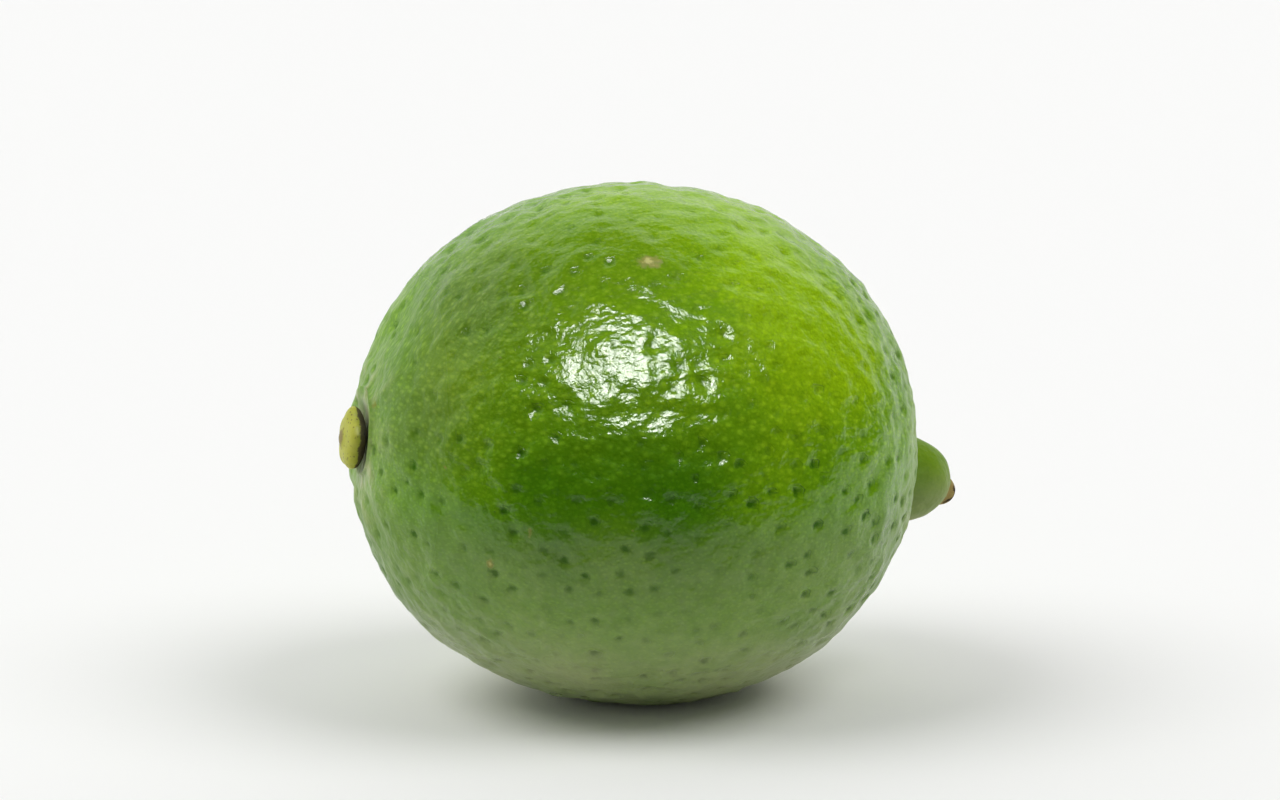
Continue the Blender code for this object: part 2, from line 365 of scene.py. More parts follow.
def base_form(along, radius, around):
    """Points of the fruit without relief, its axis along +X. Around is 0 at the top."""
    across = radius * np.sin(around)
    up = radius * np.cos(around) - nipple_drop(along)
    from_stem = np.hypot(across, up + HOLLOW_DROP)
    wall = smooth_step(HOLLOW_RADIUS, HOLLOW_FLOOR_RADIUS, from_stem)
    at_stem = along < 0.0
    return np.stack([np.where(at_stem, along + HOLLOW_DEPTH * wall, along), across, up], axis=1)


def spot_on_form(polar_degrees, around_degrees):
    along, radius = place_on_profile(np.array([polar_degrees / 180.0]))
    return base_form(along, radius, math.radians(around_degrees))[0]


def from_stem_axis(points):
    return np.hypot(points[:, 1], points[:, 2] + HOLLOW_DROP)


def from_nipple_axis(points):
    return np.hypot(points[:, 1], points[:, 2] + nipple_drop(points[:, 0]))


def tip_place():
    """Middle of the stylar tip on the nipple's dome."""
    dome_share = math.sqrt(1.0 - (TIP_BELOW_MIDDLE / NIPPLE_RADIUS) ** 2)
    return np.array([BODY_HALF_LENGTH + NIPPLE_HEIGHT * dome_share, 0.0, -NIPPLE_DROP - TIP_BELOW_MIDDLE])


def patchwork(points, patches):
    """Sum of soft round patches at each point."""
    total = np.zeros(len(points))
    for polar_degrees, around_degrees, width, amount in patches:
        distance = np.linalg.norm(points - spot_on_form(polar_degrees, around_degrees), axis=1)
        total += amount * np.exp(-((distance / width) ** 2))
    return total


def fold_wave(points):
    """Angle round the stem's axis, 0 at the top, and the wave of the folds there, 1 on a crest."""
    around = np.arctan2(points[:, 1], points[:, 2] + HOLLOW_DROP)
    return around, np.cos(FOLD_COUNT * around + FOLD_SWAY * np.sin(2.0 * around + FOLD_SWAY_TURN))


def form_relief(points):
    """Height of swells, folds, groove and stylar tip above the base form at each point."""
    height = patchwork(points, SWELLS)
    at_stem = points[:, 0] < 0.0
    from_stem = from_stem_axis(points)
    around, wave = fold_wave(points)
    fold_window = smooth_step(FOLD_START, FOLD_CREST, from_stem)
    fold_window *= smooth_step(FOLD_REACH, FOLD_CREST, from_stem) * at_stem
    fold_window *= smooth_step(FOLD_CALM_TURN, FOLD_FULL_TURN, np.abs(around))
    height += FOLD_HEIGHT * (FOLD_LIFT + (1.0 - FOLD_LIFT) * wave) * fold_window
    from_nipple = from_nipple_axis(points)
    groove = soft_hill(np.abs(from_nipple - NIPPLE_RADIUS - GROOVE_WIDTH), GROOVE_WIDTH)
    height -= GROOVE_DEPTH * groove * (points[:, 0] > DROP_START)
    from_tip = np.linalg.norm(points - tip_place(), axis=1)
    return height + TIP_HEIGHT * np.sqrt(soft_hill(from_tip, TIP_RADIUS))


def rings_of_cube(corners):
    """Share of the way from the +X face's middle to the -X face's, and angle round X, of each point of a
    cube, so that every square ring of the two end faces becomes a circle."""
    x, y, z = corners.T
    wide = np.maximum(np.abs(y), np.abs(z))
    on_side = 0.5 - x / 4.0
    on_end = 0.5 - np.sign(x) * (0.5 - wide / 4.0)
    share = np.where(np.abs(x) > 1.0 - 1e-6, on_end, on_side)
    mostly_up = np.abs(z) >= np.abs(y)
    slope = np.where(mostly_up, y, z) / np.where(wide > 0.0, np.where(mostly_up, z, y), 1.0)
    up_turn = np.where(z >= 0.0, 0.0, math.pi) + slope * math.pi / 4.0
    side_turn = np.sign(y) * math.pi / 2.0 - slope * math.pi / 4.0
    return share, np.where(mostly_up, up_turn, side_turn)


def ripple(points, length):
    """Smooth unevenness from about -0.5 to 0.5 with the given usual length of a wave."""
    return np.array([noise.noise(point) for point in points / length])


def pit_list(settings):
    """(centre, direction it is stretched in, stretch, radius, depth) of each pit. They are spread evenly on
    a spiral and then moved at random. Most are faint, and the deep ones keep together."""
    area = 4.0 * math.pi * BODY_RADIUS * BODY_HALF_LENGTH
    count = int(area / settings.pit_spacing**2)
    random = np.random.default_rng(PIT_SEED)
    number = np.arange(count) + 0.5
    spacing = math.sqrt(4.0 * math.pi / count)
    polar = np.arccos(1.0 - 2.0 * number / count)
    turn = number * math.pi * (3.0 - math.sqrt(5.0))
    turn += random.normal(0.0, PIT_SCATTER * spacing, count) / np.sin(polar)
    polar = np.clip(polar + random.normal(0.0, PIT_SCATTER * spacing, count), 0.0, math.pi)
    centres = base_form(*place_on_profile(polar / math.pi), turn)
    radii = settings.pit_width / 2.0 * random.uniform(*PIT_WIDTHS, count)
    crowd = np.clip(CROWD_MIDDLE + CROWD_SWING * ripple(centres, PIT_CLOUD), CROWD_LEAST, 1.0)
    depths = settings.pit_depth * crowd * random.uniform(*PIT_DEPTHS, count)
    depths *= 1.0 - RIPE_SHALLOWER * np.clip(patchwork(centres, RIPE_AND_SHADE_PATCHES), 0.0, RIPE_MOST)
    stretches = random.uniform(1.0, PIT_STRETCH, count)
    lean = random.normal(0.0, PIT_LEAN, count)
    round_axis = np.stack([np.zeros(count), np.cos(turn), -np.sin(turn)], axis=1)
    directions = np.cos(lean)[:, None] * np.array([1.0, 0.0, 0.0]) + np.sin(lean)[:, None] * round_axis
    kept = []
    for index, centre in enumerate(centres):
        if all(np.linalg.norm(centres[kept] - centre, axis=1) > PIT_LEAST_GAP):
            kept.append(index)
    return [(centres[k], directions[k], stretches[k], radii[k], depths[k]) for k in kept]


def pits_in_skin(points, settings):
    """For each point: height of the pits, way to the middle of the nearest pit, shortened along the pit's
    stretch so that its length is the same all round the rim, and how deep the pit is beside the deepest."""
    tree = kdtree.KDTree(len(points))
    for index, point in enumerate(points):
        tree.insert(point, index)
    tree.balance()
    height = np.zeros(len(points))
    way = np.full((len(points), 3), PIT_DRAWN_REACH)
    strength = np.zeros(len(points))
    for centre, direction, stretch, radius, depth in pit_list(settings):
        for _, index, _ in tree.find_range(centre, PIT_REACH * radius):
            offset = centre - points[index]
            offset -= (1.0 - 1.0 / stretch) * offset.dot(direction) * direction
            distance = math.sqrt(offset.dot(offset))
            bowl = PIT_CORE * math.exp(-((distance / radius) ** 2))
            bowl += (1.0 - PIT_CORE) * math.exp(-((distance / (PIT_DIMPLE * radius)) ** 2))
            rim = math.exp(-(((distance / radius - PIT_RIM_PLACE) / PIT_RIM_WIDTH) ** 2))
            height[index] += depth * (PIT_RIM_HEIGHT * rim - bowl)
            if distance < PIT_DRAWN_REACH:
                way[index] = offset
                strength[index] = depth / settings.pit_depth
    return height, way, strength


def dry_marks(points):
    """1 in the middle of each dry mark, falling below 0.5 at its edge."""
    marks = np.zeros(len(points))
    for polar_degrees, around_degrees, half_along, half_across, strength in DRY_MARKS:
        centre = spot_on_form(polar_degrees, around_degrees)
        offset = points - centre
        along = offset[:, 0] / half_along
        across = np.hypot(offset[:, 1], offset[:, 2]) / half_across
        marks = np.maximum(marks, strength * np.exp(-0.7 * (along**2 + across**2)))
    return marks


def unfold(mesh, cube_corners):
    """UV map "sheet" that lays each of the cube's six faces out flat, in metres along the skin, so that a
    pattern on it keeps its size all over the fruit."""
    corner_points = np.empty(len(mesh.loops), np.int32)
    mesh.loops.foreach_get("vertex_index", corner_points)
    quads = cube_corners[corner_points].reshape(-1, 4, 3)
    middles = quads.mean(axis=1)
    facing = np.abs(middles).argmax(axis=1)
    number = facing + 3 * (np.take_along_axis(middles, facing[:, None], axis=1)[:, 0] > 0.0)
    across = np.take_along_axis(quads, ((facing + 1) % 3)[:, None, None], axis=2)[:, :, 0]
    up = np.take_along_axis(quads, ((facing + 2) % 3)[:, None, None], axis=2)[:, :, 0]
    half_edge = BODY_RADIUS * math.pi / 4.0
    sheet = np.stack([across + SHEET_STEP * number[:, None], up], axis=2) * half_edge
    mesh.uv_layers.new(name="sheet").data.foreach_set("uv", sheet.ravel().astype(np.float32))


def add_attribute(mesh, name, values):
    """A number or a vector for each point of the mesh, which a material can read."""
    kind, field = ("FLOAT", "value") if values.ndim == 1 else ("FLOAT_VECTOR", "vector")
    mesh.attributes.new(name, kind, "POINT").data.foreach_set(field, values.ravel().astype(np.float32))


def way_into(box, points):
    """Way from the middle of the points' own box to the middle of the given one."""
    low, high = (np.array(corner) for corner in box)
    return (low + high - points.min(axis=0) - points.max(axis=0)) / 2.0


def make_object(name, mesh_data, material):
    mesh = bpy.data.meshes.new(name)
    mesh_data.to_mesh(mesh)
    mesh_data.free()
    mesh.materials.append(material)
    mesh.shade_smooth()
    obj = bpy.data.objects.new(name, mesh)
    bpy.context.scene.collection.objects.link(obj)
    return obj


# Sockets of a Mix node that mixes colours
MIX_FACTOR = 0
MIX_FIRST = 6
MIX_SECOND = 7
MIX_RESULT = 2

# Settings that several nodes share
SMOOTH = {"interpolation_type": "SMOOTHSTEP"}
COLOURS = {"data_type": "RGBA"}
FLAT_CELLS = {"feature": "F1", "voronoi_dimensions": "2D"}
TIMES = {"operation": "MULTIPLY"}
TIMES_CLAMPED = {"operation": "MULTIPLY", "use_clamp": True}
TIMES_PLUS = {"operation": "MULTIPLY_ADD"}

# Numbers at each point of the skin that its material reads
SKIN_NUMBERS = """ripe olive pit_strength pitted pale_fold pale_band dry_floor bloom dry_mark stylar_tip
thin_wax dull""".split()


def add_node(tree, kind, settings, inputs, output=0):
    """Adds a node, gives it its settings, fills its sockets with values or links, and returns an output.
    The kind is the node's type without the ShaderNode that it starts with."""
    node = tree.nodes.new("ShaderNode" + kind)
    for name, value in settings.items():
        setattr(node, name, value)
    for name, value in inputs.items():
        if isinstance(value, bpy.types.NodeSocket):
            tree.links.new(value, node.inputs[name])
        else:
            node.inputs[name].default_value = value
    return node.outputs[output] if node.outputs else node


def new_material(name):
    material = bpy.data.materials.new(name)
    material.use_nodes = True
    material.node_tree.nodes.clear()
    return material


def per_metre(length):
    """Scale of a pattern whose usual cell or wave has the given length."""
    return 1.0 / length


def skin_material(look):
    """Waxed lime rind, grown: a thin smooth wax over a leathery green skin, so it is glossy, with oil
    glands showing through as paler dots and each pit's bottom painted darker than the skin round it, as
    shade."""
    material = new_material("waxed_lime_rind")
    add = partial(add_node, material.node_tree)
    place = add("TexCoord", {}, {}, "Object")
    height = add("SeparateXYZ", {}, {0: place}, "Z")
    way_to_pit = add("Attribute", {"attribute_name": "way_to_pit"}, {}, "Vector")
    ripe, olive, pit_strength, pitted, fold, pale_band, dry_floor, bloom, mark, tip, thin_wax, dull = (
        add("Attribute", {"attribute_name": name}, {}, "Fac") for name in SKIN_NUMBERS
    )

    # Clouds of yellower and darker green, about a centimetre across, with finer ones inside them
    clouds = add(
        "TexNoise", {}, {"Vector": place, "Scale": per_metre(9.0 * MM), "Detail": 4.0, "Roughness": 0.55}
    )
    cloud_share = add(
        "MapRange", {}, {"Value": clouds, "From Min": 0.32, "From Max": 0.68, "To Min": -0.16, "To Max": 0.16}
    )
    yellow = add("Math", {"operation": "ADD"}, {0: ripe, 1: cloud_share})
    towards_yellow = add("MapRange", SMOOTH, {"Value": yellow, "From Min": 0.0, "From Max": 0.8})
    # Below 0 the skin goes dark green, which is painted shade where the dark patches face the eye
    towards_dark = add("MapRange", SMOOTH, {"Value": yellow, "From Min": 0.15, "From Max": -0.5})

    # How strongly the glands, the small glands and the pits show between two heights above the table:
    # from here, to here, share below and share above. These follow the light: the glands are dimmed on the
    # lower half and the pits painted darker there, both painted shade, and the glands thin out at the top
    gland_show, gland_hide, small_gland_show, pit_up_high = (
        add(
            "MapRange",
            SMOOTH,
            {"Value": height, "From Min": low, "From Max": high, "To Min": below, "To Max": above},
        )
        for low, high, below, above in (
            (23.0 * MM, 31.0 * MM, 0.20, 1.0),
            (43.0 * MM, 51.0 * MM, 1.0, 0.3),
            (10.0 * MM, 25.0 * MM, 0.60, 1.0),
            (22.0 * MM, 38.0 * MM, 1.6, 0.75),
        )
    )

    # Oil glands: real ones are 1.3 mm apart and 0.4 mm across, and show as they are
    sheet = add("UVMap", {"uv_map": "sheet"}, {})
    glands = add(
        "TexVoronoi",
        FLAT_CELLS,
        {"Vector": sheet, "Scale": per_metre(look.gland_spacing), "Randomness": 0.75},
        "Distance",
    )
    gland = add("MapRange", SMOOTH, {"Value": glands, "From Min": 0.34, "From Max": 0.04})
    small_glands = add(
        "TexVoronoi",
        FLAT_CELLS,
        {"Vector": sheet, "Scale": per_metre(SMALL_GLAND_SPACING * look.gland_spacing), "Randomness": 1.0},
        "Distance",
    )
    small_gland = add(
        "MapRange", SMOOTH, {"Value": small_glands, "From Min": 0.36, "From Max": 0.10, "To Max": 0.45}
    )
    on_green = add("MapRange", {}, {"Value": towards_yellow, "To Min": 1.0, "To Max": 0.35})
    for share in (pitted, small_gland_show):
        small_gland = add("Math", TIMES, {0: small_gland, 1: share})
    for share in (gland_show, gland_hide, pitted):
        gland = add("Math", TIMES, {0: gland, 1: share})
    dots = add("Math", {"operation": "MAXIMUM"}, {0: gland, 1: small_gland})
    dots = add("Math", TIMES, {0: dots, 1: on_green})

    # Grain of the skin between the glands, a tenth of a millimetre in life and drawn three times coarser
    grain = add(
        "TexNoise", {}, {"Vector": place, "Scale": per_metre(0.3 * MM), "Detail": 3.0, "Roughness": 0.6}
    )
    grain_share = add("MapRange", {}, {"Value": grain, "From Min": 0.35, "From Max": 0.70, "To Max": 0.36})

    # Bottoms of the pits, painted dark green as the shade in them, each with an outline of its own: real
    # ones are up to 1 mm across. They show less on yellow skin
    blotch = add(
        "TexNoise", {}, {"Vector": place, "Scale": per_metre(0.8 * MM), "Detail": 3.0, "Roughness": 0.6}
    )
    from_pit = add("VectorMath", {"operation": "LENGTH"}, {0: way_to_pit}, "Value")
    from_pit = add("Math", TIMES_PLUS, {0: blotch, 1: PIT_OUTLINE_STRAY, 2: from_pit})
    pit = add("MapRange", SMOOTH, {"Value": from_pit, "From Min": 1.20 * MM, "From Max": 0.55 * MM})
    pit = add("Math", TIMES, {0: pit, 1: pit_strength})
    pit_on_ripe = add("MapRange", {}, {"Value": towards_yellow, "To Min": 1.0, "To Max": 0.45})
    painted_pit_shade = add("Math", TIMES, {0: pit, 1: pit_on_ripe})
    painted_pit_shade = add("Math", TIMES_CLAMPED, {0: painted_pit_shade, 1: pit_up_high})

    # The skin is paler at the two ends and a little on the underside, where the paleness is painted sheen,
    # most of all on the ridges of its leathery waves and on those between cells of a millimetre and a half,
    # a little longer along the fruit
    lengthwise = add("Mapping", {}, {"Vector": place, "Scale": (0.8, 1.0, 1.0)})
    leathery = add(
        "TexNoise", {}, {"Vector": lengthwise, "Scale": per_metre(1.8 * MM), "Detail": 2.5, "Roughness": 0.6}
    )
    ridge = add(
        "MapRange",
        {},
        {"Value": leathery, "From Min": 0.40, "From Max": 0.62, "To Min": 0.45, "To Max": 1.45},
    )
    cells = add(
        "TexVoronoi",
        {"feature": "F1"},
        {"Vector": lengthwise, "Scale": per_metre(1.5 * MM), "Randomness": 0.9},
        "Distance",
    )
    net = add(
        "MapRange",
        SMOOTH,
        {"Value": cells, "From Min": 0.10, "From Max": 0.75, "To Min": 0.60, "To Max": 1.15},
    )
    ridge = add("Math", TIMES, {0: ridge, 1: net})
    fold = add("Math", TIMES_CLAMPED, {0: fold, 1: ridge})

    # A dull pale film lies on the underside and the nipple, thicker in some places than in others. Its
    # paleness is painted sheen, as if lit from the table below
    patchy = add(
        "MapRange", {}, {"Value": clouds, "From Min": 0.30, "From Max": 0.70, "To Min": 0.7, "To Max": 1.2}
    )
    bloom = add("Math", TIMES, {0: bloom, 1: patchy})

    # Dry marks have a ragged edge and a paler middle. The stylar tip is dead and brown, tan where it
    # meets the live skin. The ragged factor is about 1 on the average
    ragged = add("Math", TIMES_PLUS, {0: blotch, 1: 2.6, 2: -0.3})
    ragged_mark = add("Math", TIMES, {0: mark, 1: ragged})
    mark_edge = add(
        "MapRange", SMOOTH, {"Value": ragged_mark, "From Min": 0.20, "From Max": 0.80, "To Max": 0.85}
    )
    mark_middle = add("MapRange", SMOOTH, {"Value": ragged_mark, "From Min": 0.70, "From Max": 1.15})
    ragged_tip = add("Math", TIMES, {0: tip, 1: ragged})
    tip_edge = add("MapRange", SMOOTH, {"Value": ragged_tip, "From Min": 0.25, "From Max": 0.45})
    tip_middle = add("MapRange", SMOOTH, {"Value": ragged_tip, "From Min": 0.60, "From Max": 0.90})
    mark_colour, tip_colour = (
        add("Mix", COLOURS, {MIX_FACTOR: share, MIX_FIRST: edge[:], MIX_SECOND: middle[:]}, MIX_RESULT)
        for share, edge, middle in (
            (mark_middle, look.mark_edge, look.mark_middle),
            (tip_middle, look.tip_edge, look.tip_middle),
        )
    )

    # The layers of colour over the live green, each with how it blends and how much of it shows. Some are
    # painted light in part or whole: the dark green, olive, pit and dry floor layers paint shade, and the
    # fold, pale band and pale film layers paint sheen and a highlight
    colour = look.green[:]
    for blend, share, tint in (
        ("MIX", towards_yellow, look.yellow[:]),
        ("MIX", towards_dark, look.dark_green[:]),
        ("MIX", olive, look.olive[:]),
        ("MULTIPLY", dots, (*look.gland_gain, 1.0)),
        ("MIX", grain_share, look.dark_green[:]),
        ("MIX", painted_pit_shade, look.pit[:]),
        ("MIX", fold, look.fold[:]),
        ("MIX", pale_band, look.pale_band[:]),
        ("MIX", dry_floor, look.dry_floor[:]),
        ("MIX", bloom, look.bloom[:]),
        ("MIX", mark_edge, mark_colour),
        ("MIX", tip_edge, tip_colour),
    ):
        colour = add(
            "Mix",
            {"data_type": "RGBA", "blend_type": blend},
            {MIX_FACTOR: share, MIX_FIRST: colour, MIX_SECOND: tint},
            MIX_RESULT,
        )

    # Wax makes the live skin glossy. It is thinner at the two ends, and rougher in the pits and under
    # the film of painted sheen. Dead skin has none
    waxed = add(
        "MapRange", {}, {"Value": thin_wax, "To Min": look.gloss_roughness, "To Max": look.end_roughness}
    )
    waxed = add("Math", TIMES_PLUS, {0: painted_pit_shade, 1: PIT_ROUGHER, 2: waxed})
    waxed = add("Math", TIMES_PLUS, {0: bloom, 1: PAINTED_SHEEN_ROUGHER, 2: waxed})
    dead = add("Math", {"operation": "MAXIMUM"}, {0: mark_edge, 1: tip_edge})
    dead = add("Math", {"operation": "MAXIMUM"}, {0: dead, 1: dry_floor})
    roughness = add("MapRange", {}, {"Value": dead, "To Min": waxed, "To Max": look.dead_roughness})

    # A pit's walls shade one another, so it reflects little of the room. The nipple and the two ends
    # are duller than the body too
    specular = add("MapRange", {}, {"Value": painted_pit_shade, "To Min": SKIN_SPECULAR, "To Max": PIT_SPECULAR})
    shiny = add("Math", {"operation": "SUBTRACT"}, {0: 1.0, 1: dull})
    specular = add("Math", TIMES, {0: specular, 1: shiny})

    # Unevenness that breaks a reflection up: leathery waves of two millimetres, the pale ridges, fine
    # waves of half a millimetre, the pits, and the glands, a hundredth of a millimetre proud
    fine = add(
        "TexNoise", {}, {"Vector": place, "Scale": per_metre(0.42 * MM), "Detail": 2.0, "Roughness": 0.5}
    )
    fine_strength = add("MapRange", {}, {"Value": thin_wax, "To Min": 1.0, "To Max": 0.2})
    normal = add("Bump", {}, {"Height": leathery, "Distance": 0.25 * MM, "Strength": 1.0})
    for relief, rise, strength, sense in (
        (fold, 0.12 * MM, 1.0, {}),
        (fine, 0.055 * MM, fine_strength, {}),
        (pit, 0.06 * MM, 1.0, {"invert": True}),
        (gland, 0.008 * MM, 1.0, {}),
    ):
        normal = add(
            "Bump", sense, {"Height": relief, "Distance": rise, "Strength": strength, "Normal": normal}
        )
    shader = add(
        "BsdfPrincipled",
        {},
        {
            "Base Color": colour,
            "Roughness": roughness,
            "IOR": look.wax_ior,
            "Specular IOR Level": specular,
            "Normal": normal,
            "Subsurface Weight": look.glow,
            "Subsurface Radius": (0.8, 1.0, 0.2),
            "Subsurface Scale": 1.2 * MM,
        },
    )
    add("OutputMaterial", {}, {"Surface": shader})
    return material


def calyx_material(look):
    """Drying calyx, grown: a corky yellow-green disc with brown flecks, dead and dark at its edge, so it
    is dull beside the waxed rind. Its side against the fruit is painted darker still, as shade."""
    material = new_material("drying_calyx")
    add = partial(add_node, material.node_tree)
    place = add("TexCoord", {}, {}, "Object")
    under, scar = (add("Attribute", {"attribute_name": name}, {}, "Fac") for name in ("under", "scar"))
    mottle = add(
        "TexNoise", {}, {"Vector": place, "Scale": per_metre(1.1 * MM), "Detail": 4.0, "Roughness": 0.6}
    )

    # Brown flecks a fifth of a millimetre across
    flecks = add(
        "TexVoronoi",
        {"feature": "F1"},
        {"Vector": place, "Scale": per_metre(0.55 * MM), "Randomness": 1.0},
        "Distance",
    )
    fleck = add("MapRange", SMOOTH, {"Value": flecks, "From Min": 0.30, "From Max": 0.12, "To Max": 0.7})
    face = look.face[:]
    for share, tint in ((mottle, look.face_pale), (fleck, look.fleck)):
        face = add("Mix", COLOURS, {MIX_FACTOR: share, MIX_FIRST: face, MIX_SECOND: tint[:]}, MIX_RESULT)

    # The dried edge and the stalk's scar are brown, with ragged outlines. The edge's dark brown is partly
    # painted shade, and the seat below, against the fruit, is painted darkest, as the shade in the gap
    ragged = add("Math", TIMES_PLUS, {0: mottle, 1: 0.9, 2: -0.45})
    ragged_under = add("Math", {"operation": "ADD"}, {0: under, 1: ragged})
    edge = add("MapRange", SMOOTH, {"Value": ragged_under, "From Min": 0.35, "From Max": 0.60})
    black = add("MapRange", SMOOTH, {"Value": ragged_under, "From Min": 0.98, "From Max": 1.12})
    ragged_scar = add("Math", {"operation": "ADD"}, {0: scar, 1: ragged})
    scar_share = add(
        "MapRange", SMOOTH, {"Value": ragged_scar, "From Min": 0.40, "From Max": 0.75, "To Max": 0.85}
    )
    edge_colour = add(
        "Mix",
        COLOURS,
        {MIX_FACTOR: black, MIX_FIRST: look.edge[:], MIX_SECOND: look.gap_shade_black[:]},
        MIX_RESULT,
    )
    colour = face
    for share, tint in ((edge, edge_colour), (scar_share, look.scar[:])):
        colour = add("Mix", COLOURS, {MIX_FACTOR: share, MIX_FIRST: colour, MIX_SECOND: tint}, MIX_RESULT)
    cork = add(
        "TexNoise", {}, {"Vector": place, "Scale": per_metre(0.35 * MM), "Detail": 4.0, "Roughness": 0.65}
    )
    normal = add("Bump", {}, {"Height": cork, "Distance": 0.06 * MM, "Strength": 1.0})
    roughness = add(
        "MapRange", {}, {"Value": edge, "To Min": look.face_roughness, "To Max": look.edge_roughness}
    )
    shader = add(
        "BsdfPrincipled", {}, {"Base Color": colour, "Roughness": roughness, "IOR": 1.45, "Normal": normal}
    )
    add("OutputMaterial", {}, {"Surface": shader})
    return material


def length_setting(name, description, default, least, most):
    return bpy.props.FloatProperty(
        name=name,
        description=description,
        default=default,
        min=least,
        max=most,
        subtype="DISTANCE",
        unit="LENGTH",
    )


def colour_setting(name, description, code):
    return bpy.props.FloatVectorProperty(
        name=name, description=description, size=4, subtype="COLOR", default=linear(code)
    )


def share_setting(name, description, default):
    return bpy.props.FloatProperty(
        name=name, description=description, default=default, min=0.0, max=1.0, subtype="FACTOR"
    )


def angle_setting(name, description, degrees, least=0.0):
    return bpy.props.FloatProperty(
        name=name,
        description=description,
        default=math.radians(degrees),
        min=math.radians(least),
        max=math.radians(90.0),
        subtype="ANGLE",
    )


def strength_setting(name, description, default, most):
    return bpy.props.FloatProperty(name=name, description=description, default=default, min=0.0, max=most)


class SkinSettings(bpy.types.PropertyGroup):
    pit_spacing: length_setting(
        "Pit spacing", "Usual distance from one pit to the next", 2.35 * MM, 1.5 * MM, 6.0 * MM
    )
    pit_width: length_setting(
        "Pit width", "Width of a usual pit, a third of the way up its wall", 0.86 * MM, 0.4 * MM, 2.0 * MM
    )
    pit_depth: length_setting("Pit depth", "Depth of the deepest pit", 0.30 * MM, 0.0, 0.5 * MM)
    gland_spacing: length_setting(
        "Gland spacing", "Usual distance from one oil gland to the next", 1.3 * MM, 0.8 * MM, 3.0 * MM
    )
    green: colour_setting("Green", "Skin between its patches", "#74A70A")
    yellow: colour_setting("Yellow", "Skin that has turned", "#A2CE0A")
    # Dark green is also painted shade, in the dark patches on the side that faces the eye
    dark_green: colour_setting("Dark green", "Skin that hasn't turned", "#488206")
    # Olive is also painted shade on the underside
    olive: colour_setting("Olive", "Duller, shaded skin", "#5F7A1A")
    gland_gain: bpy.props.FloatVectorProperty(
        name="Gland gain",
        description="How many times brighter an oil gland is than the skin round it, in red, green and blue",
        size=3,
        default=(1.75, 1.50, 4.0),
    )
    # Painted shade at the bottom of a pit
    pit: colour_setting("Pit", "Bottom of a pit", "#3A6C04")
    # The pale ridges below are painted sheen
    fold: colour_setting("Fold", "Pale ridges at the two ends and below", "#B0BD80")
    # Painted highlight along the body's edge beside the nipple
    pale_band: colour_setting("Pale band", "Ring round the nipple", "#C9CF98")
    # Dry skin, darkened as painted shade in the hollow round the button
    dry_floor: colour_setting("Dry floor", "Skin round the stem button", "#55501F")
    # Painted sheen: a pale film as if lit from the table below
    bloom: colour_setting("Bloom", "Dull film on the underside and the nipple", "#B5B192")
    mark_edge: colour_setting("Mark's edge", "Edge of a dry mark", "#96923A")
    mark_middle: colour_setting("Mark's middle", "Middle of a dry mark", "#D2CC7C")
    tip_edge: colour_setting("Tip's edge", "Tan edge of the stylar tip", "#9C8850")
    tip_middle: colour_setting("Tip's middle", "Dead stylar tip", "#35291A")
    wax_ior: bpy.props.FloatProperty(
        name="Wax IOR", description="Refraction of the wax", default=1.45, min=1.3, max=1.6
    )
    gloss_roughness: share_setting("Gloss", "Roughness of waxed skin", 0.15)
    end_roughness: share_setting("Ends", "Roughness at the two ends", 0.36)
    dead_roughness: share_setting("Dead skin", "Roughness of dead skin", 0.75)
    glow: share_setting("Glow", "Light that travels under the skin", 0.12)


class ButtonSettings(bpy.types.PropertyGroup):
    wrinkle_depth: length_setting(
        "Wrinkle depth", "Depth of the wrinkles round the dried edge", 0.07 * MM, 0.0, 0.2 * MM
    )
    wrinkle_count: bpy.props.IntProperty(
        name="Wrinkles", description="Number of wrinkles round the edge", default=23, min=0, max=60
    )
    face: colour_setting("Face", "Yellow-green face", "#A9AF2C")
    face_pale: colour_setting("Pale face", "Paler clouds of the face", "#CBCB44")
    fleck: colour_setting("Fleck", "Brown flecks", "#6E5A24")
    edge: colour_setting("Edge", "Dried edge", "#5A4E22")
    # Painted shade: the darkest brown, on the seat in the gap against the fruit
    gap_shade_black: colour_setting("Dark edge", "Darkest of the dried edge", "#1C150C")
    scar: colour_setting("Scar", "Scar of the stalk", "#8C7A4A")
    face_roughness: share_setting("Face roughness", "Roughness of the face", 0.50)
    edge_roughness: share_setting("Edge roughness", "Roughness of the edge", 0.80)


class StageSettings(bpy.types.PropertyGroup):
    table_radius: length_setting("Table radius", "Radius of the round table", 4.0, 0.5, 10.0)
    table: colour_setting("Table", "Matt white table", "#EFEFEE")
    surround_strength: strength_setting("Surround", "Strength of the pale surround", 0.96, 10.0)
    surround_turn: angle_setting(
        "Surround turn", "Angle by which the pale surround is turned to the left", 25.0
    )
    fill_strength: strength_setting("Fill", "Light that the whole room scatters", 0.32, 10.0)
    left_lamp_strength: strength_setting("Left lamp", "Light that the left lamp gives", 1.10, 50.0)
    right_lamp_strength: strength_setting("Right lamp", "Light that the right lamp gives", 1.15, 50.0)
    side_lamp_width: angle_setting("Side lamp width", "Angle across each side lamp", 36.0)
    side_lamp_height: angle_setting("Side lamp height", "Angle of the side lamps above the table", 54.0)
    side_lamp_turn: angle_setting("Side lamp turn", "Angle from the eye's direction to each side lamp", 74.0)
    middle_lamp_strength: strength_setting("Middle lamps", "Light that each middle lamp gives", 2.4, 50.0)
    middle_lamp_turn: angle_setting(
        "Middle lamp turn", "Angle from the eye's direction to the middle lamps, to the right", 7.0, -90.0
    )
    middle_lamp_gap: angle_setting(
        "Middle lamp gap", "Angle from the middle of one middle lamp to the middle of the other", 19.0
    )
    middle_lamp_width: angle_setting("Middle lamp width", "Angle across each middle lamp", 25.0)
    middle_lamp_height: angle_setting(
        "Middle lamp height", "Angle of the middle lamps above the table", 47.0
    )


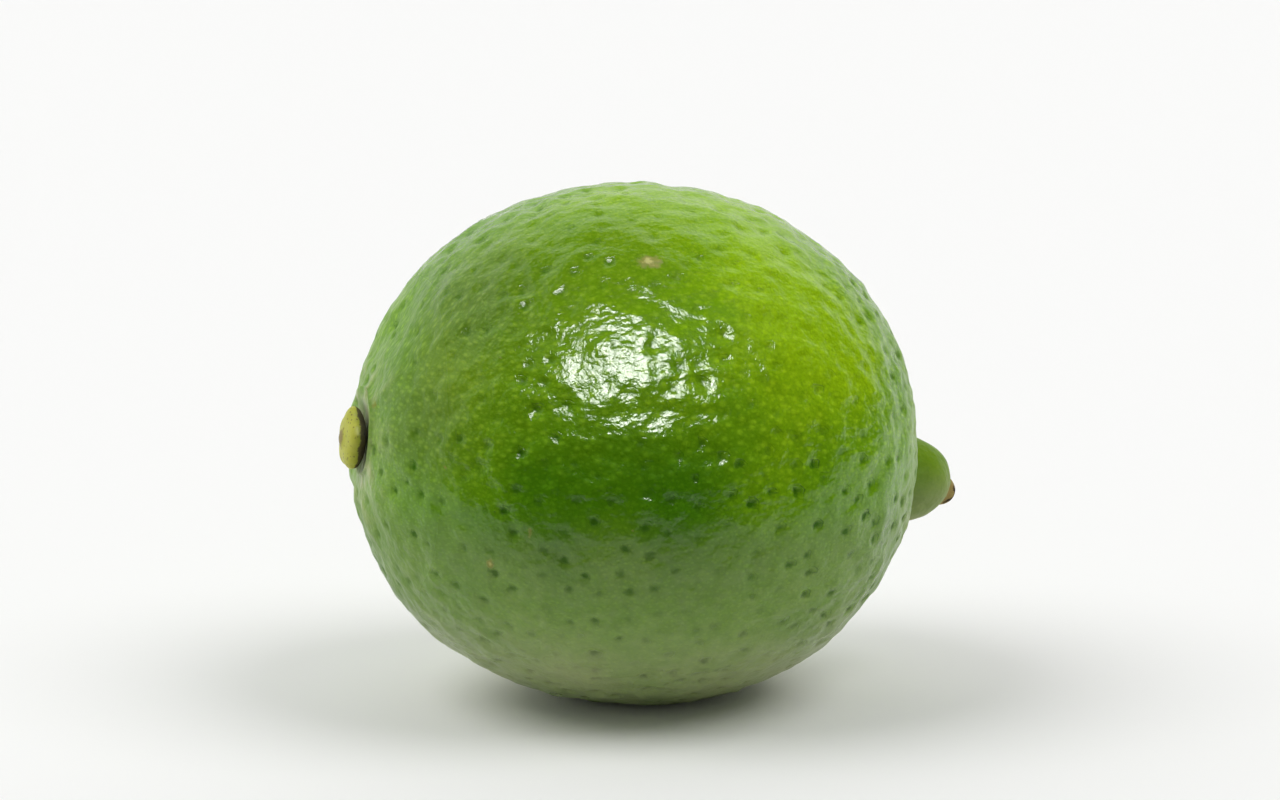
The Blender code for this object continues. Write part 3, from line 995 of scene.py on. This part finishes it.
class LIME_OT_skin(bpy.types.Operator):
    """Models the fruit's skin with its pits, folds, nipple and stylar tip"""

    bl_idname = "lime.skin"
    bl_label = "Skin"

    def execute(self, context):
        settings = context.scene.lime_skin
        skin = bmesh.new()
        bmesh.ops.create_cube(skin, size=2.0)
        bmesh.ops.subdivide_edges(skin, edges=skin.edges[:], cuts=FACES_ALONG_EDGE - 1, use_grid_fill=True)
        cube_corners = np.array([vert.co for vert in skin.verts])
        share, around = rings_of_cube(cube_corners)
        points = base_form(*place_on_profile(share, NIPPLE_CROWDING, STEM_CROWDING), around)
        for vert, point in zip(skin.verts, points):
            vert.co = point
        skin.normal_update()
        normals = np.array([vert.normal for vert in skin.verts])
        tilt = np.array(Matrix.Rotation(AXIS_TILT, 3, "Y")).T
        lying = points @ tilt
        lowest = lying[lying[:, 2].argmin()]
        from_spot = np.hypot(lying[:, 0] - lowest[0], lying[:, 1] - lowest[1])
        clear = np.where(lying[:, 2] < 0.0, smooth_step(*REST_SPOT_CLEAR, from_spot), 1.0)

        from_stem = from_stem_axis(points)
        from_nipple = from_nipple_axis(points)
        at_stem = points[:, 0] < 0.0
        at_nipple = points[:, 0] > DROP_START
        off_nipple = np.where(at_nipple, smooth_step(*NIPPLE_CLEAR, from_nipple), 1.0)
        off_hollow = np.where(at_stem, smooth_step(*BUTTON_CLEAR, from_stem), 1.0)
        pitted = off_nipple * off_hollow
        pit_height, way_to_pit, pit_strength = pits_in_skin(points, settings)
        uneven = sum(height * 2.0 * ripple(points, length) for length, height in RIPPLES)
        calm = np.where(at_nipple, NIPPLE_RIPPLE + (1.0 - NIPPLE_RIPPLE) * off_nipple, 1.0)
        height = form_relief(points) + pit_height * pitted + uneven * calm * off_hollow
        moved = (points + normals * (height * clear)[:, None]) @ tilt
        moved[:, 2] = np.maximum(moved[:, 2] - lowest[2] - REST_SPOT_DEPTH, 0.0)
        moved[:, :2] += way_into(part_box("lime_fruit"), moved)[:2]
        for vert, point in zip(skin.verts, moved):
            vert.co = point

        obj = make_object("lime_skin", skin, skin_material(settings))
        unfold(obj.data, cube_corners)
        crest = smooth_step(0.0, 1.0, fold_wave(points)[1])
        stem_folds = smooth_step(FOLD_REACH, FOLD_PALEST, from_stem) * at_stem
        stem_folds *= TROUGH_PALE + CREST_PALE * crest
        stem_folds += fade(STEM_COLLAR, from_stem) * at_stem
        nipple_ridges = fade(NIPPLE_RIDGES, from_nipple) * (points[:, 0] > 0.0) * off_nipple
        band = soft_hill(np.abs(from_nipple - BAND_PLACE), BAND_WIDTH) * at_nipple
        from_tip = np.linalg.norm(points - tip_place(), axis=1)
        facing_down = -(normals @ tilt)[:, 2]
        on_nipple = 1.0 - off_nipple
        ends = smooth_step(*NIPPLE_END, share) + smooth_step(*STEM_END, share)
        # Painted shade: olive on the underside. The nipple is olive all over
        shaded = np.maximum(fade(PAINTED_SHADE_BELOW, facing_down), NIPPLE_OLIVE * on_nipple)
        # Painted sheen: a pale film on the underside and the nipple, as if lit from the table below
        bloom = fade(FAINT_PAINTED_SHEEN_BELOW, facing_down) + fade(PAINTED_SHEEN_BELOW, facing_down)
        for name, values in (
            ("way_to_pit", way_to_pit),
            # Below 0 these are dark patches, painted shade on the side that faces the eye
            ("ripe", patchwork(points, RIPE_AND_SHADE_PATCHES)),
            ("olive", np.clip(np.maximum(shaded, patchwork(points, OLIVE_PATCHES)), 0.0, 1.0)),
            ("pit_strength", pit_strength * pitted),
            ("pitted", pitted),
            # Pale folds at the stem, ridges round the nipple, and painted sheen on the ridges below
            ("pale_fold", np.maximum(np.maximum(stem_folds, fade(PAINTED_SHEEN_RIDGES_BELOW, facing_down)), nipple_ridges)),
            # Painted highlight round the nipple
            ("pale_band", BAND_PALE * band),
            # Painted shade round the button, on dry skin
            ("dry_floor", fade(DRY_FLOOR_AND_PAINTED_SHADE, from_stem) * at_stem),
            ("bloom", np.maximum(bloom, fade(NIPPLE_PAINTED_SHEEN, facing_down) * on_nipple)),
            ("dry_mark", dry_marks(points)),
            ("stylar_tip", np.exp(-((from_tip / TIP_STAIN) ** 2))),
            ("thin_wax", ends),
            ("dull", np.maximum(ENDS_DULL * ends, NIPPLE_DULL * on_nipple)),
        ):
            add_attribute(obj.data, name, values)
        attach(obj, "root")
        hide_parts("lime_fruit")
        return {"FINISHED"}


class LIME_OT_button(bpy.types.Operator):
    """Models the dried calyx that sits in the hollow of the stem end"""

    bl_idname = "lime.button"
    bl_label = "Stem button"

    def execute(self, context):
        settings = context.scene.lime_button
        button = bmesh.new()
        bmesh.ops.create_uvsphere(button, u_segments=BUTTON_SEGMENTS, v_segments=BUTTON_RINGS, radius=1.0)
        under_shares = []
        scar_shares = []
        for vert in button.verts:
            around = math.atan2(vert.co.y, vert.co.x)
            side = math.hypot(vert.co.x, vert.co.y)
            lobes = 1.0 + BUTTON_LOBE_DEPTH * math.cos(BUTTON_LOBES * around)
            under = 1.0 - BUTTON_UNDERCUT * smooth_step(*UNDERCUT_FADE, vert.co.z)
            radius = BUTTON_RADIUS * side**BUTTON_FLATNESS * lobes * under
            sway = WRINKLE_SWAY * math.sin(WRINKLE_SWAYS * around)
            wrinkle = math.cos(settings.wrinkle_count * around + sway)
            radius -= settings.wrinkle_depth * (0.5 + 0.5 * wrinkle) * side**WRINKLE_RIM_POWER
            half = BUTTON_THICKNESS / 2.0 * abs(vert.co.z) ** BUTTON_RIM_SQUARENESS
            height = math.copysign(half, vert.co.z)
            if vert.co.z > 0.0:
                height += SCAR_HEIGHT * soft_hill(radius, SCAR_RADIUS)
            under_shares.append(float(smooth_step(*DRY_EDGE_FADE, vert.co.z)))
            scar_shares.append(float(soft_hill(radius, SCAR_STAIN)) if vert.co.z > 0.0 else 0.0)
            vert.co = (radius * math.cos(around), radius * math.sin(around), height)
        seat = BODY_HALF_LENGTH - HOLLOW_DEPTH + BUTTON_GAP + BUTTON_THICKNESS / 2.0
        face_out = Matrix.Rotation(-math.pi / 2.0, 4, "Y")
        tilt = Matrix.Rotation(AXIS_TILT, 4, "Y")
        place = tilt @ Matrix.Translation((-seat, 0.0, -HOLLOW_DROP)) @ face_out
        bmesh.ops.transform(button, matrix=place, verts=button.verts[:])
        places = np.array([vert.co for vert in button.verts])
        shift = way_into(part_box("stem_button"), places)
        bmesh.ops.translate(button, vec=Vector(shift), verts=button.verts[:])
        obj = make_object("stem_calyx", button, calyx_material(settings))
        add_attribute(obj.data, "under", np.array(under_shares))
        add_attribute(obj.data, "scar", np.array(scar_shares))
        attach(obj, "root")
        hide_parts("stem_button")
        return {"FINISHED"}


class LIME_OT_stage(bpy.types.Operator):
    """Sets up the white table, the pale surround, the lights and the camera"""

    bl_idname = "lime.stage"
    bl_label = "Table, light and camera"

    def execute(self, context):
        scene = context.scene
        settings = scene.lime_stage
        level = math.cos(EYE_ELEVATION)
        back = Vector(
            (math.sin(EYE_AZIMUTH) * level, -math.cos(EYE_AZIMUTH) * level, math.sin(EYE_ELEVATION))
        )
        towards_eye = Vector((back.x, back.y, 0.0)).normalized()
        make_table(settings, towards_eye)
        make_surround(scene, settings, towards_eye)
        # The two side lamps give the shading and the soft shadow. Only the wax answers to the two middle
        # lamps, which stand between them and lower
        side_form = (settings.side_lamp_height, settings.side_lamp_width)
        for name, turn, strength in (
            ("left_lamp", -settings.side_lamp_turn, settings.left_lamp_strength),
            ("right_lamp", settings.side_lamp_turn, settings.right_lamp_strength),
        ):
            make_lamp(scene, name, towards_eye, turn, *side_form, strength).visible_glossy = False
        middle_form = (settings.middle_lamp_height, settings.middle_lamp_width)
        for name, side in (("middle_lamp_left", -0.5), ("middle_lamp_right", 0.5)):
            turn = settings.middle_lamp_turn + side * settings.middle_lamp_gap
            lamp = make_lamp(scene, name, towards_eye, turn, *middle_form, settings.middle_lamp_strength)
            lamp.visible_diffuse = False
        make_camera(scene, back)
        scene.view_settings.view_transform = "Standard"
        return {"FINISHED"}


def make_table(settings, towards_eye):
    table = bmesh.new()
    bmesh.ops.create_circle(table, cap_ends=True, segments=TABLE_SEGMENTS, radius=settings.table_radius)
    material = new_material("matt_white_table")
    add = partial(add_node, material.node_tree)
    place = add("TexCoord", {}, {}, "Object")
    in_front = add("VectorMath", {"operation": "DOT_PRODUCT"}, {0: place, 1: towards_eye}, "Value")
    # Reflections and bounced light see the table end a little way in front of the fruit, as a real
    # light table does, and the eye sees it go on
    past_edge = add("MapRange", SMOOTH, {"Value": in_front, "From Min": 45.0 * MM, "From Max": 85.0 * MM})
    seen = add("LightPath", {}, {}, "Is Camera Ray")
    unseen = add("Math", {"operation": "SUBTRACT"}, {0: 1.0, 1: seen})
    dark = add("Math", TIMES, {0: past_edge, 1: unseen})
    white = add("BsdfDiffuse", {}, {"Color": settings.table[:]})
    black = add("BsdfDiffuse", {}, {"Color": (DARK_ROOM, DARK_ROOM, DARK_ROOM, 1.0)})
    surface = add("MixShader", {}, {0: dark, 1: white, 2: black})
    add("OutputMaterial", {}, {"Surface": surface})
    obj = make_object("table", table, material)


def make_surround(scene, settings, towards_eye):
    """White behind the fruit and to its left, dark above it and on the eye's side. The eye sees it plain
    and nearly as bright as the table."""
    world = bpy.data.worlds.new("studio_surround")
    world.use_nodes = True
    scene.world = world
    world.node_tree.nodes.clear()
    add = partial(add_node, world.node_tree)
    direction = add("TexCoord", {}, {}, "Generated")
    middle = Matrix.Rotation(settings.surround_turn, 3, "Z") @ -towards_eye
    away = add("VectorMath", {"operation": "DOT_PRODUCT"}, {0: direction, 1: middle}, "Value")
    height = add("SeparateXYZ", {}, {0: direction}, "Z")
    behind = add("MapRange", SMOOTH, {"Value": away, "From Min": -0.20, "From Max": 0.42})
    below_ceiling = add("MapRange", SMOOTH, {"Value": height, "From Min": 0.95, "From Max": 0.82})
    share = add("Math", TIMES, {0: behind, 1: below_ceiling})
    scattered = add("LightPath", {}, {}, "Is Diffuse Ray")
    fill = add("Math", TIMES_PLUS, {0: scattered, 1: settings.fill_strength, 2: DARK_ROOM})
    lit = add("Math", TIMES_PLUS, {0: share, 1: settings.surround_strength, 2: fill})
    seen = add("LightPath", {}, {}, "Is Camera Ray")
    strength = add("Mix", {"data_type": "FLOAT"}, {0: seen, 2: lit, 3: SURROUND_SEEN})
    background = add("Background", {}, {"Strength": strength})
    add("OutputWorld", {}, {"Surface": background})


def make_lamp(scene, name, towards_eye, turn, height, width, strength):
    """Round soft lamp turned away from the eye's direction and raised by these angles, so far away that
    it lights the whole table evenly."""
    data = bpy.data.lights.new(name, "SUN")
    data.energy = strength
    data.angle = width
    obj = bpy.data.objects.new(name, data)
    ahead = Matrix.Rotation(turn, 3, "Z") @ towards_eye
    direction = ahead * math.cos(height) + Vector((0.0, 0.0, math.sin(height)))
    obj.location = direction
    obj.rotation_euler = (-direction).to_track_quat("-Z", "Y").to_euler()
    scene.collection.objects.link(obj)
    return obj


def make_camera(scene, back):
    data = bpy.data.cameras.new("eye")
    data.sensor_width = SENSOR_WIDTH
    data.lens = FOCAL_PIXELS / PICTURE_WIDTH * SENSOR_WIDTH
    data.clip_start = 0.01
    data.clip_end = 50.0
    obj = bpy.data.objects.new("eye", data)
    scene.collection.objects.link(obj)
    scene.camera = obj
    place = Vector(EYE_TARGET) + back * EYE_DISTANCE
    right = Vector((math.cos(EYE_AZIMUTH), math.sin(EYE_AZIMUTH), 0.0))
    up = back.cross(right)
    per_pixel = EYE_DISTANCE / FOCAL_PIXELS
    aim = Vector(EYE_TARGET) - right * TARGET_RIGHT_OF_MIDDLE * per_pixel
    aim += up * TARGET_BELOW_MIDDLE * per_pixel
    obj.location = place
    obj.rotation_euler = (aim - place).to_track_quat("-Z", "Y").to_euler()


class LIME_PT_panel(bpy.types.Panel):
    """Sizes and colours of the lime, and a button for each piece"""

    bl_idname = "LIME_PT_panel"
    bl_label = "Lime"
    bl_space_type = "VIEW_3D"
    bl_region_type = "UI"
    bl_category = "Lime"

    def draw(self, context):
        for settings, operator in (
            (context.scene.lime_skin, LIME_OT_skin),
            (context.scene.lime_button, LIME_OT_button),
            (context.scene.lime_stage, LIME_OT_stage),
        ):
            box = self.layout.box()
            for name in settings.__annotations__:
                box.prop(settings, name)
            box.operator(operator.bl_idname)


CLASSES = (
    SkinSettings,
    ButtonSettings,
    StageSettings,
    LIME_OT_skin,
    LIME_OT_button,
    LIME_OT_stage,
    LIME_PT_panel,
)


def register():
    for cls in CLASSES:
        bpy.utils.register_class(cls)
    bpy.types.Scene.lime_skin = bpy.props.PointerProperty(type=SkinSettings)
    bpy.types.Scene.lime_button = bpy.props.PointerProperty(type=ButtonSettings)
    bpy.types.Scene.lime_stage = bpy.props.PointerProperty(type=StageSettings)


def unregister():
    del bpy.types.Scene.lime_stage
    del bpy.types.Scene.lime_button
    del bpy.types.Scene.lime_skin
    for cls in reversed(CLASSES):
        bpy.utils.unregister_class(cls)


def main():
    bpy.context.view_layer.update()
    register()
    bpy.ops.lime.skin()
    bpy.ops.lime.button()
    bpy.ops.lime.stage()


if __name__ == "__main__":
    main()
